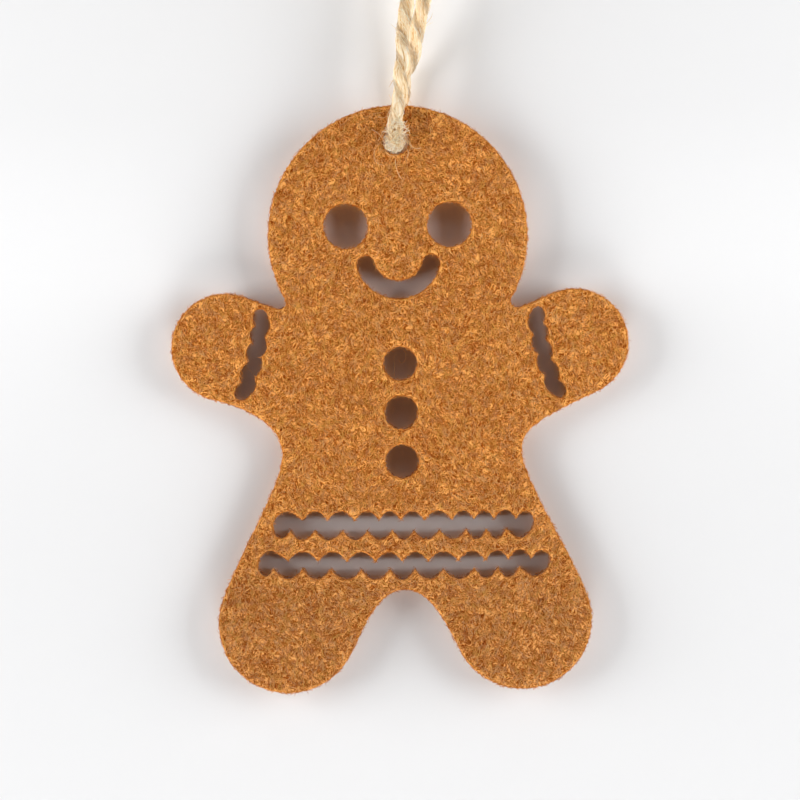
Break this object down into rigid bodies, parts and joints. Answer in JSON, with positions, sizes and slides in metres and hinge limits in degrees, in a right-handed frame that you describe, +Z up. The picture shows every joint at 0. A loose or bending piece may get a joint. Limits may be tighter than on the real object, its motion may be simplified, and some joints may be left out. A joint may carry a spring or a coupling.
{
  "type": "felt christmas ornament",
  "caption": "Flat figure cut from thick felt, with cut-through eyes, smile, buttons, cuffs and scalloped belts, hung on a knotted loop of jute twine.",
  "frame": {"origin": "hanging point, inside the twine loop just under its knot", "axes": "+Z up along the hanging figure, +X across it to the viewer's right, +Y from its front face to its back"},
  "size_m": [0.0782, 0.0112, 0.1967],
  "materials": {
    "felt": "thick needled felt, ginger brown, matt and fibrous",
    "jute_twine": "natural two-ply jute, matt and hairy"
  },
  "bodies": {
    "loop": {"twine_strand_front": "jute_twine", "twine_strand_back": "jute_twine", "twine_knot": "jute_twine", "twine_tail_left": "jute_twine", "twine_tail_right": "jute_twine"},
    "bight": {"twine_bight": "jute_twine"},
    "figure": {"felt_figure": "felt"}
  },
  "joints": [
    {"name": "twist", "type": "hinge", "parent": "loop", "child": "bight", "pos_m": [0, 0, -0.07], "axis": [0, 0, 1], "range_deg": [-180, 180]},
    {"name": "swing", "type": "hinge", "parent": "bight", "child": "figure", "pos_m": [0, 0, -0.08], "axis": [0, 1, 0], "range_deg": [-35, 35]}
  ]
}
